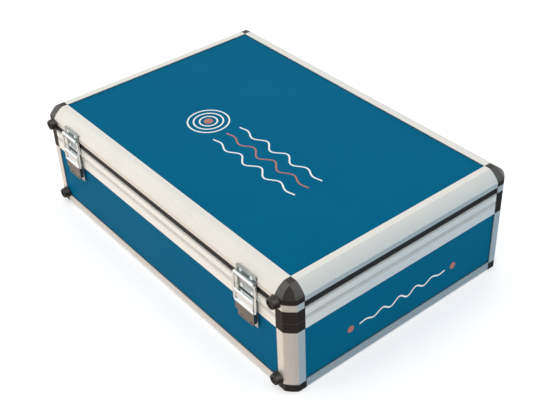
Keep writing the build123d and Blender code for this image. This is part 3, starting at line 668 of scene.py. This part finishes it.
# Narrow boards round the lid's sides, between its rails and its rim. They are black,
# with a pressed pattern of very fine dots.
strip_colour = (0.016, 0.0155, 0.0155, 1.0)
strip_dot_colour = (0.034, 0.033, 0.032, 1.0)
strip_gloss = 0.15
strip_roughness = (0.32, 0.5)
strip_roughness_range = (0.1, 0.6)
dot_fineness = 900.0
dot_scatter = 0.25
dot_range = (0.55, 0.2)
dot_depth = 0.00012
dot_strength = 0.7
black_strip, strip_tree, strip_shader = new_finish(
    "dotted_black_laminate", Specular_IOR_Level=strip_gloss
)
strip_dots = add_shader_node(
    strip_tree,
    "ShaderNodeTexVoronoi",
    {"Vector": place_on_piece(strip_tree), "Scale": dot_fineness, "Randomness": dot_scatter},
).outputs["Distance"]
strip_bumps = add_range(strip_tree, strip_dots, *dot_range)
strip_tone = add_colour_mix(strip_tree, strip_bumps, strip_colour, strip_dot_colour)
strip_tree.links.new(strip_tone, strip_shader.inputs["Base Color"])
strip_rough = add_range(strip_tree, strip_dots, *strip_roughness_range, *strip_roughness)
strip_tree.links.new(strip_rough, strip_shader.inputs["Roughness"])
strip_relief = add_bump(strip_tree, strip_bumps, dot_depth, dot_strength)
strip_tree.links.new(strip_relief, strip_shader.inputs["Normal"])
dress(black_strip, "lid_side_strips")

# Corner caps, rim connectors, bottom caps and bumper feet: injection-moulded black plastic,
# with the fine spark-eroded grain of the tool and edges that have rubbed a little paler.
# Faces turned up are drawn paler as well, a painted sheen that also stands for wear.
plastic_colour = (0.0200, 0.0142, 0.0118, 1.0)
plastic_rubbed = (0.105, 0.098, 0.090, 1.0)
# Paler colour drawn on faces turned up, a painted sheen that also stands for wear.
plastic_sheen_and_wear = (0.074, 0.069, 0.059, 1.0)
plastic_gloss = 0.08
plastic_edge_width = 0.0006
plastic_smudge_size = 30.0
plastic_dulling = 0.1
plastic_grain_depth = 0.00005
plastic_grain_strength = 0.6
handled_roughness = 0.3
sheen_wear_tilt_range = (0.30, 0.62)
sheen_wear_missed_corner = {"Amount": 0.62, "Wide": 0.35, "Narrow": 0.15}
sheen_wear_patch_size = 120.0
sheen_wear_patch_detail = 4.0
sheen_wear_patch_roughness = 0.6
sheen_wear_patch_range = (0.25, 0.7)
sheen_wear_patch_least = 0.75

# Painted sheen with some wear: a mask high on faces turned up, lower on outer corners, broken up
# by noise.
upward_sheen_and_wear, sheen_wear_in, sheen_wear_out = new_effect(
    "upward_sheen_and_wear", [("Amount", "NodeSocketFloat", 1.0)], ["Mask"]
)
sheen_wear_coordinates = add_shader_node(upward_sheen_and_wear, "ShaderNodeTexCoord")
sheen_wear_tilt = add_shader_node(
    upward_sheen_and_wear, "ShaderNodeSeparateXYZ", {0: sheen_wear_coordinates.outputs["Normal"]}
).outputs["Z"]
sheen_wear_facing_up = add_range(upward_sheen_and_wear, sheen_wear_tilt, *sheen_wear_tilt_range)
sheen_wear_corner = add_effect(upward_sheen_and_wear, outer_corner, sheen_wear_missed_corner).outputs["Mask"]
sheen_wear_off_corner = add_maths(upward_sheen_and_wear, "SUBTRACT", 1.0, sheen_wear_corner)
sheen_wear_reached = add_maths(upward_sheen_and_wear, "MULTIPLY", sheen_wear_facing_up, sheen_wear_off_corner)
sheen_wear_patches = add_noise(
    upward_sheen_and_wear,
    sheen_wear_coordinates.outputs["Object"],
    sheen_wear_patch_size,
    sheen_wear_patch_detail,
    sheen_wear_patch_roughness,
)
sheen_wear_uneven = add_range(upward_sheen_and_wear, sheen_wear_patches, *sheen_wear_patch_range, to_low=sheen_wear_patch_least)
sheen_wear_cover = add_maths(upward_sheen_and_wear, "MULTIPLY", sheen_wear_reached, sheen_wear_uneven)
sheen_wear_mask = add_maths(upward_sheen_and_wear, "MULTIPLY", sheen_wear_cover, sheen_wear_in.outputs["Amount"])
upward_sheen_and_wear.links.new(sheen_wear_mask, sheen_wear_out.inputs["Mask"])


def moulded(name, fineness, roughness, polish):
    """Black moulded plastic, paler where it faces up, a painted sheen that also stands for wear,
    and polished there with a coat.
    """
    made, tree, shader = new_finish(
        name, Specular_IOR_Level=plastic_gloss, Coat_Roughness=handled_roughness
    )
    edges = add_effect(tree, edge_wear_and_highlight, {"Width": plastic_edge_width}).outputs["Mask"]
    marks = add_effect(tree, smudges, {"Size": plastic_smudge_size}).outputs["Mask"]
    grain = add_effect(tree, fine_grain, {"Fineness": fineness}).outputs["Height"]
    paling = add_effect(tree, upward_sheen_and_wear).outputs["Mask"]
    # Painted sheen with some wear on faces turned up.
    sheened = add_colour_mix(tree, paling, plastic_colour, plastic_sheen_and_wear)
    edge_paled = add_colour_mix(tree, edges, sheened, plastic_rubbed)
    tree.links.new(edge_paled, shader.inputs["Base Color"])
    polished = add_maths(tree, "MULTIPLY", paling, polish)
    tree.links.new(polished, shader.inputs["Coat Weight"])
    rough = add_range(tree, marks, to_low=roughness, to_high=roughness + plastic_dulling)
    tree.links.new(rough, shader.inputs["Roughness"])
    relief = add_bump(tree, grain, plastic_grain_depth, plastic_grain_strength)
    tree.links.new(relief, shader.inputs["Normal"])
    return made


cap_plastic = moulded("black_corner_plastic", fineness=1900.0, roughness=0.30, polish=0.7)
dress(cap_plastic, "lid_cap_front_left", "lid_cap_front_right")
dress(cap_plastic, "lid_cap_back_left", "lid_cap_back_right")
dress(cap_plastic, "lid_rim_connectors", "base_rim_connectors", "base_bottom_caps")
foot_rubber = moulded("black_bumper_rubber", fineness=1300.0, roughness=0.30, polish=0.8)
dress(foot_rubber, "lid_bumpers", "base_bumpers")

# Latch plates, links, rivets and hinges: pressed steel and wire with bright nickel plating.
# The keepers, latch plates, hinge leaves and levers are drawn in darker copies of that nickel,
# a painted shade for the dark surroundings their flat faces reflect, and the latch parts' rolled
# edges past a set level are drawn bright, a painted highlight. The screws and handle are steel
# too, each with a darker or duller plating.
nickel_colour = (0.80, 0.84, 0.83, 1.0)
nickel_shade = (0.66, 0.70, 0.695, 1.0)
# Keepers, latch plates and hinge leaves are drawn darker than the same nickel, a painted shade
# for the dark surroundings their flat faces reflect.
sheet_painted_dark_colour = (0.40, 0.43, 0.425, 1.0)
sheet_painted_dark_cloud = (0.32, 0.345, 0.34, 1.0)
# The levers are drawn far darker than the same nickel, a painted shade for the dark surroundings
# their flat faces reflect.
lever_painted_dark_colour = (0.20, 0.185, 0.16, 1.0)
lever_painted_dark_cloud = (0.165, 0.15, 0.132, 1.0)
screw_colour = (0.34, 0.33, 0.32, 1.0)
screw_shade = (0.20, 0.195, 0.19, 1.0)
bow_colour = (0.56, 0.56, 0.55, 1.0)
bow_shade = (0.47, 0.47, 0.465, 1.0)
nickel_roughness = 0.13
# Above this level the lever's rolled top is drawn as bright nickel, a painted highlight.
lever_painted_highlight = ("Z", 0.0797, 0.0802)
# Past this level the latch plates' rolled edges are drawn as bright nickel, a painted highlight.
sheet_painted_highlight = ("Y", -0.1577, -0.1582)
plating_smudge_size = 60.0
plating_hairline_amount = 0.6
plating_edge_width = 0.0003
plating_fineness = 1600.0
plating_brightest = 0.95
plating_dulling = 0.1
plating_scratch_dulling = 0.25
plating_grain_depth = 0.00001
plating_grain_strength = 0.4


def plated(name, colour, shade, roughness, paling, highlight_side=None):
    """Plated steel, cloudy and scratched; if a level along one axis is given, the part past it
    is drawn as bright nickel, a painted highlight.
    """
    made, tree, shader = new_finish(name, Metallic=1.0)
    marks = add_effect(tree, smudges, {"Size": plating_smudge_size}).outputs["Mask"]
    hairs = add_effect(tree, hairlines, {"Amount": plating_hairline_amount}).outputs["Mask"]
    edges = add_effect(tree, edge_wear_and_highlight, {"Width": plating_edge_width}).outputs["Mask"]
    grain = add_effect(tree, fine_grain, {"Fineness": plating_fineness}).outputs["Height"]
    worn = tuple(min(part * paling, plating_brightest) for part in colour[:3]) + (1.0,)
    cloud = add_colour_mix(tree, marks, colour, shade)
    clouded = add_range(tree, marks, to_low=roughness, to_high=roughness + plating_dulling)
    # Painted highlight: past the level, the part is drawn in the bright nickel colour and made
    # smoother.
    if highlight_side:
        axis, dull_to, highlight_from = highlight_side
        level = add_shader_node(tree, "ShaderNodeSeparateXYZ", {0: place_on_piece(tree)})
        highlight = add_range(tree, level.outputs[axis], dull_to, highlight_from)
        cloud = add_colour_mix(tree, highlight, cloud, nickel_colour)
        smoother = add_maths(tree, "MULTIPLY", highlight, roughness - nickel_roughness)
        clouded = add_maths(tree, "SUBTRACT", clouded, smoother)
    edge_paled = add_colour_mix(tree, edges, cloud, worn)
    tree.links.new(edge_paled, shader.inputs["Base Color"])
    scratched = add_maths(tree, "MULTIPLY", hairs, plating_scratch_dulling)
    tree.links.new(add_maths(tree, "ADD", clouded, scratched), shader.inputs["Roughness"])
    relief = add_bump(tree, grain, plating_grain_depth, plating_grain_strength)
    tree.links.new(relief, shader.inputs["Normal"])
    return made


nickel = plated("bright_nickel", nickel_colour, nickel_shade, nickel_roughness, paling=1.1)
sheet_nickel_painted_dark = plated(
    "sheet_nickel_painted_dark", sheet_painted_dark_colour, sheet_painted_dark_cloud, roughness=0.22, paling=1.8, highlight_side=sheet_painted_highlight
)
painted_dark_lever_plating = plated(
    "lever_painted_dark_plating",
    lever_painted_dark_colour,
    lever_painted_dark_cloud,
    roughness=0.3,
    paling=1.6,
    highlight_side=lever_painted_highlight,
)
screw_zinc = plated("screw_zinc", screw_colour, screw_shade, roughness=0.33, paling=1.5)
bow_steel = plated("satin_bow_steel", bow_colour, bow_shade, roughness=0.34, paling=1.3)
for latch_side in ("left", "right"):
    dress(sheet_nickel_painted_dark, f"latch_keeper_{latch_side}", f"latch_plate_{latch_side}")
    dress(nickel, f"latch_link_{latch_side}")
    dress(painted_dark_lever_plating, f"latch_lever_{latch_side}")
dress(nickel, "latch_lever_pins", "hinge_pins")
dress(sheet_nickel_painted_dark, "hinge_base_leaves", "hinge_lid_leaves")
dress(screw_zinc, "lid_bumper_screws", "base_bumper_screws")
dress(bow_steel, "handle_bow", "handle_brackets", "handle_pins")

# Rivets with a domed head, set from outside through each plate. The shank fills the hole,
# and the head has a rounded rim and the small dimple that the setting tool leaves.
rivet_head = 0.0023
rivet_shank = 0.0013
rivet_rise = 0.0009
rivet_dimple = 0.0006
rivet_dimple_floor_share = 0.6
rivet_dimple_floor = rivet_rise - rivet_dimple / 2
rivet_dimple_lip = rivet_rise - rivet_dimple / 8
rivet_dome_shares = ((0.45, 1.0), (0.7, 0.84), (0.88, 0.56), (0.98, 0.24), (1.0, 0.0))
rivet_steps = 28
rivet_sharp_past = 50.0
keeper_sheet = 0.0009
latch_sheet = 0.0012
hinge_sheet = 0.0014
bracket_sheet = 0.0016
latch_face = -0.156
hinge_face = 0.156
bracket_seat = 0.1545
latch_middles = (-0.1673, 0.1673)
latch_rivet_spread = 0.0084
keeper_rivet_levels = (0.1205, 0.1015)
latch_rivet_levels = (0.0881, 0.0672)
hinge_middles = (-0.145, 0.145)
hinge_rivet_offsets = (-0.015, 0.0, 0.015)
hinge_lid_level = 0.10115
hinge_base_level = 0.08355
bracket_middles = (-0.07105, 0.07105)
bracket_rivet_levels = (0.0535, 0.0745)


def join_loops(shape, near, far):
    """Faces between two closed loops of corners, either of which may be a single point."""
    steps = max(len(near), len(far))
    for step in range(steps):
        after = (step + 1) % steps
        if len(near) == 1:
            shape.faces.new((near[0], far[step], far[after]))
        elif len(far) == 1:
            shape.faces.new((near[step], far[0], near[after]))
        else:
            shape.faces.new((near[step], far[step], far[after], near[after]))


def turn_profile(shape, profile, seat):
    """A closed round solid from a profile of radius and height, placed by a matrix."""
    rings = []
    for radius, height in profile:
        steps = rivet_steps if radius > 0.0 else 1
        ring = []
        for step in range(steps):
            angle = math.tau * step / steps
            point = Vector((radius * math.cos(angle), radius * math.sin(angle), height))
            ring.append(shape.verts.new(seat @ point))
        rings.append(ring)
    for near, far in zip(rings, rings[1:]):
        join_loops(shape, near, far)


def set_rivets(name, rows, node, body):
    """One piece for all the rivets of a body, from rows of middle, level, seat and sheet."""
    shape = bmesh.new()
    for x, level, seat_y, sheet in rows:
        way = 1.0 if seat_y > 0 else -1.0
        seat = Matrix.Translation((x, seat_y + way * sheet, level))
        seat = seat @ Matrix.Rotation(-way * math.pi / 2, 4, "X")
        profile = (
            (0.0, rivet_dimple_floor),
            (rivet_dimple * rivet_dimple_floor_share, rivet_dimple_floor),
            (rivet_dimple, rivet_dimple_lip),
            *((rivet_head * out, rivet_rise * up) for out, up in rivet_dome_shares),
            (rivet_shank, 0.0),
            (rivet_shank, -sheet),
            (0.0, -sheet),
        )
        turn_profile(shape, profile, seat)
    bmesh.ops.recalc_face_normals(shape, faces=list(shape.faces))
    made = new_piece(name, shape, nickel, rivet_sharp_past)
    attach(made, body)
    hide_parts(node)


lid_rows = []
base_rows = []
for latch_middle in latch_middles:
    for rivet_side in (-1, 1):
        rivet_x = latch_middle + rivet_side * latch_rivet_spread
        for rivet_level in keeper_rivet_levels:
            lid_rows.append((rivet_x, rivet_level, latch_face, keeper_sheet))
        for rivet_level in latch_rivet_levels:
            base_rows.append((rivet_x, rivet_level, latch_face, latch_sheet))
for hinge_middle in hinge_middles:
    for rivet_offset in hinge_rivet_offsets:
        rivet_x = hinge_middle + rivet_offset
        lid_rows.append((rivet_x, hinge_lid_level, hinge_face, hinge_sheet))
        base_rows.append((rivet_x, hinge_base_level, hinge_face, hinge_sheet))
for bracket_middle in bracket_middles:
    for rivet_level in bracket_rivet_levels:
        base_rows.append((bracket_middle, rivet_level, bracket_seat, bracket_sheet))
set_rivets("domed_lid_rivets", lid_rows, "lid_rivets", "lid")
set_rivets("domed_base_rivets", base_rows, "base_rivets", "base")

# Grip of the carrying handle: black plastic moulded round the steel bow, fuller in the
# middle, with raised ribs across it for the fingers and a plain collar at each end.
grip_low, grip_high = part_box("handle_grip")
grip_middle = (grip_low + grip_high) / 2
grip_half = (grip_high - grip_low) / 2
grip_stations = 185
grip_section_points = 40
grip_squareness = 2.7
grip_waist = 0.12
grip_rib_pitch = 0.0042
grip_rib_depth = 0.05
grip_ribbed_half = 0.031
grip_end_round = 0.0030
grip_end_share = 0.72
grip_sharp_past = 60.0


def grip_scale(distance):
    """How full the grip is at a distance from its middle, ribs and rounded ends included."""
    share = distance / grip_half.x
    full = 1.0 - grip_waist * share**2
    if distance < grip_ribbed_half:
        full *= 1.0 - grip_rib_depth * (1.0 - math.cos(math.tau * distance / grip_rib_pitch)) / 2
    left = grip_half.x - distance
    if left < grip_end_round:
        end_curve = math.sqrt(max(0.0, 1.0 - (1.0 - left / grip_end_round) ** 2))
        full *= grip_end_share + (1.0 - grip_end_share) * end_curve
    return full


def squared(value):
    """One side of the grip's section, which lies between an ellipse and a box."""
    return abs(value) ** (2 / grip_squareness) * math.copysign(1, value)


grip_shape = bmesh.new()
grip_rings = []
for station in range(grip_stations):
    grip_x = grip_half.x * (2.0 * station / (grip_stations - 1) - 1.0)
    grip_full = grip_scale(abs(grip_x))
    grip_ring = []
    for corner in range(grip_section_points):
        angle = math.tau * corner / grip_section_points
        grip_y = grip_half.y * grip_full * squared(math.cos(angle))
        grip_z = grip_half.z * grip_full * squared(math.sin(angle))
        grip_ring.append(
            grip_shape.verts.new(
                (grip_middle.x + grip_x, grip_middle.y + grip_y, grip_middle.z + grip_z)
            )
        )
    grip_rings.append(grip_ring)
for near_ring, far_ring in zip(grip_rings, grip_rings[1:]):
    join_loops(grip_shape, near_ring, far_ring)
grip_shape.faces.new(grip_rings[0])
grip_shape.faces.new(list(reversed(grip_rings[-1])))
bmesh.ops.recalc_face_normals(grip_shape, faces=list(grip_shape.faces))
grip_plastic = moulded("black_grip_plastic", fineness=1500.0, roughness=0.40, polish=0.5)
ribbed_grip = new_piece("ribbed_grip", grip_shape, grip_plastic, grip_sharp_past)
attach(ribbed_grip, "handle")
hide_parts("handle_grip")

# Foam in the base: a flat pad on the bottom board, and over it a thick layer with pockets
# cut right through. Dark grey closed-cell foam, pressed in, its cut edges a little rounded.
foam_colour = (0.030, 0.031, 0.033, 1.0)
foam_cell = (0.052, 0.053, 0.056, 1.0)
foam_gloss = 0.2
foam_roughness = 0.9
foam_cell_fineness = 750.0
foam_cell_range = (0.2, 0.75)
foam_cell_depth = 0.0004
foam_cell_strength = 0.8
foam_edge_round = 0.0014
foam_round_steps = 4
foam_sharp_past = 40.0
foam_wall = 0.019
front_pocket_depth = 0.062
front_pocket_count = 3
left_pocket_length = 0.232
pocket_corner = 0.006
layer_corner = 0.001
pad_corner = 0.0043
foam_corner_steps = 8

cut_foam, foam_tree, foam_shader = new_finish(
    "dark_cut_foam", Specular_IOR_Level=foam_gloss, Roughness=foam_roughness
)
foam_cells = add_shader_node(
    foam_tree,
    "ShaderNodeTexVoronoi",
    {"Vector": place_on_piece(foam_tree), "Scale": foam_cell_fineness},
).outputs["Distance"]
foam_rims = add_range(foam_tree, foam_cells, *foam_cell_range)
foam_tone = add_colour_mix(foam_tree, foam_rims, foam_colour, foam_cell)
foam_tree.links.new(foam_tone, foam_shader.inputs["Base Color"])
foam_relief = add_bump(foam_tree, foam_rims, foam_cell_depth, foam_cell_strength)
foam_tree.links.new(foam_relief, foam_shader.inputs["Normal"])


def rounded_outline(centre_x, centre_y, length, depth, corner):
    """Points round a rectangle with round corners."""
    points = []
    for quarter, (sign_x, sign_y) in enumerate(((1, 1), (-1, 1), (-1, -1), (1, -1))):
        corner_x = centre_x + sign_x * (length / 2 - corner)
        corner_y = centre_y + sign_y * (depth / 2 - corner)
        for step in range(foam_corner_steps + 1):
            angle = math.pi / 2 * (quarter + step / foam_corner_steps)
            point_y = corner_y + corner * math.sin(angle)
            points.append((corner_x + corner * math.cos(angle), point_y))
    return points


def foam_slab(name, outline, holes, low, high, node):
    """A slab of foam with holes right through it and softly rounded upper edges."""
    levels = [(0.0, low)]
    for step in range(foam_round_steps + 1):
        angle = math.pi / 2 * step / foam_round_steps
        inset = foam_edge_round * (1.0 - math.cos(angle))
        levels.append((inset, high - foam_edge_round * (1.0 - math.sin(angle))))
    shape = bmesh.new()
    top_edges = []
    bottom_edges = []
    for edge_sign, edge in [(-1, outline)] + [(1, hole) for hole in holes]:
        centre_x, centre_y, length, depth, corner = edge
        loops = []
        for inset, level in levels:
            grow = edge_sign * 2 * inset
            points = rounded_outline(
                centre_x, centre_y, length + grow, depth + grow, corner + grow / 2
            )
            loops.append([shape.verts.new((x, y, level)) for x, y in points])
        for near, far in zip(loops, loops[1:]):
            join_loops(shape, near, far)
        for loop, edges in ((loops[0], bottom_edges), (loops[-1], top_edges)):
            for here, after in zip(loop, loop[1:] + loop[:1]):
                edges.append(shape.edges.get((here, after)))
    bmesh.ops.triangle_fill(shape, edges=top_edges, use_beauty=True)
    bmesh.ops.triangle_fill(shape, edges=bottom_edges, use_beauty=True)
    bmesh.ops.recalc_face_normals(shape, faces=list(shape.faces))
    made = new_piece(name, shape, cut_foam, foam_sharp_past)
    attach(made, "base")
    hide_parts(node)


layer_low, layer_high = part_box("foam_pocket_layer")
layer_length = layer_high.x - layer_low.x
layer_depth = layer_high.y - layer_low.y
front_pocket_length = layer_length - (front_pocket_count + 1) * foam_wall
front_pocket_length = front_pocket_length / front_pocket_count
front_pocket_x = layer_low.x + foam_wall + front_pocket_length / 2
front_row_y = layer_low.y + foam_wall + front_pocket_depth / 2
back_row_depth = layer_depth - 3 * foam_wall - front_pocket_depth
back_row_y = layer_high.y - foam_wall - back_row_depth / 2
right_pocket_length = layer_length - 3 * foam_wall - left_pocket_length
left_pocket_x = layer_low.x + foam_wall + left_pocket_length / 2
right_pocket_x = layer_high.x - foam_wall - right_pocket_length / 2
pockets = [
    (
        front_pocket_x + pocket_place * (front_pocket_length + foam_wall),
        front_row_y,
        front_pocket_length,
        front_pocket_depth,
    )
    for pocket_place in range(front_pocket_count)
]
pockets.append((left_pocket_x, back_row_y, left_pocket_length, back_row_depth))
pockets.append((right_pocket_x, back_row_y, right_pocket_length, back_row_depth))
foam_slab(
    "pocket_foam",
    (0.0, 0.0, layer_length, layer_depth, layer_corner + foam_edge_round),
    [(*pocket, pocket_corner) for pocket in pockets],
    layer_low.z,
    layer_high.z,
    "foam_pocket_layer",
)
pad_low, pad_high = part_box("foam_base_pad")
foam_slab(
    "base_pad_foam",
    (0.0, 0.0, pad_high.x - pad_low.x, pad_high.y - pad_low.y, pad_corner + foam_edge_round),
    [],
    pad_low.z,
    pad_high.z,
    "foam_base_pad",
)

# Foam in the lid: one pad, glued under the top board, whose lower face is cut to rows of
# rounded peaks and hollows that hold down what lies in the pockets.
peak_pitch = 0.0425
peak_height = 0.013
peak_sharpness = 1.25
lid_foam_step = 0.0025
lid_foam_corner = 0.0062
lid_foam_sharp_past = 45.0
lid_foam_low, lid_foam_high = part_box("foam_lid_pad")
lid_foam_half_x = (lid_foam_high.x - lid_foam_low.x) / 2
lid_foam_half_y = (lid_foam_high.y - lid_foam_low.y) / 2
lid_foam_columns = round(2 * lid_foam_half_x / lid_foam_step)
lid_foam_rows = round(2 * lid_foam_half_y / lid_foam_step)


def peak_level(x, y):
    """Level of the lid foam's lower face."""
    swell = (math.cos(math.tau * x / peak_pitch) + math.cos(math.tau * y / peak_pitch)) / 2
    return lid_foam_low.z + peak_height * (1.0 - ((1.0 + swell) / 2) ** peak_sharpness)


lid_foam_shape = bmesh.new()
lid_foam_grid = []
for column in range(lid_foam_columns + 1):
    grid_line = []
    for row in range(lid_foam_rows + 1):
        foam_x = lid_foam_half_x * (2.0 * column / lid_foam_columns - 1.0)
        foam_y = lid_foam_half_y * (2.0 * row / lid_foam_rows - 1.0)
        corner_left = lid_foam_half_x - abs(foam_x) + lid_foam_half_y - abs(foam_y)
        if corner_left < lid_foam_corner:
            pull = (lid_foam_corner - corner_left) / 2
            foam_x -= math.copysign(pull, foam_x)
            foam_y -= math.copysign(pull, foam_y)
        grid_line.append(lid_foam_shape.verts.new((foam_x, foam_y, peak_level(foam_x, foam_y))))
    lid_foam_grid.append(grid_line)
for near_line, far_line in zip(lid_foam_grid, lid_foam_grid[1:]):
    for row in range(lid_foam_rows):
        lid_foam_shape.faces.new(
            (near_line[row], near_line[row + 1], far_line[row + 1], far_line[row])
        )
rim_edges = [edge for edge in lid_foam_shape.edges if edge.is_boundary]
raised = bmesh.ops.extrude_edge_only(lid_foam_shape, edges=rim_edges)["geom"]
for raised_vert in (part for part in raised if isinstance(part, bmesh.types.BMVert)):
    raised_vert.co.z = lid_foam_high.z
top_rim_edges = [part for part in raised if isinstance(part, bmesh.types.BMEdge)]
bmesh.ops.edgenet_fill(lid_foam_shape, edges=top_rim_edges)
bmesh.ops.recalc_face_normals(lid_foam_shape, faces=list(lid_foam_shape.faces))
peaked_lid_foam = new_piece("peaked_lid_foam", lid_foam_shape, cut_foam, lid_foam_sharp_past)
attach(peaked_lid_foam, "lid")
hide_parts("foam_lid_pad")
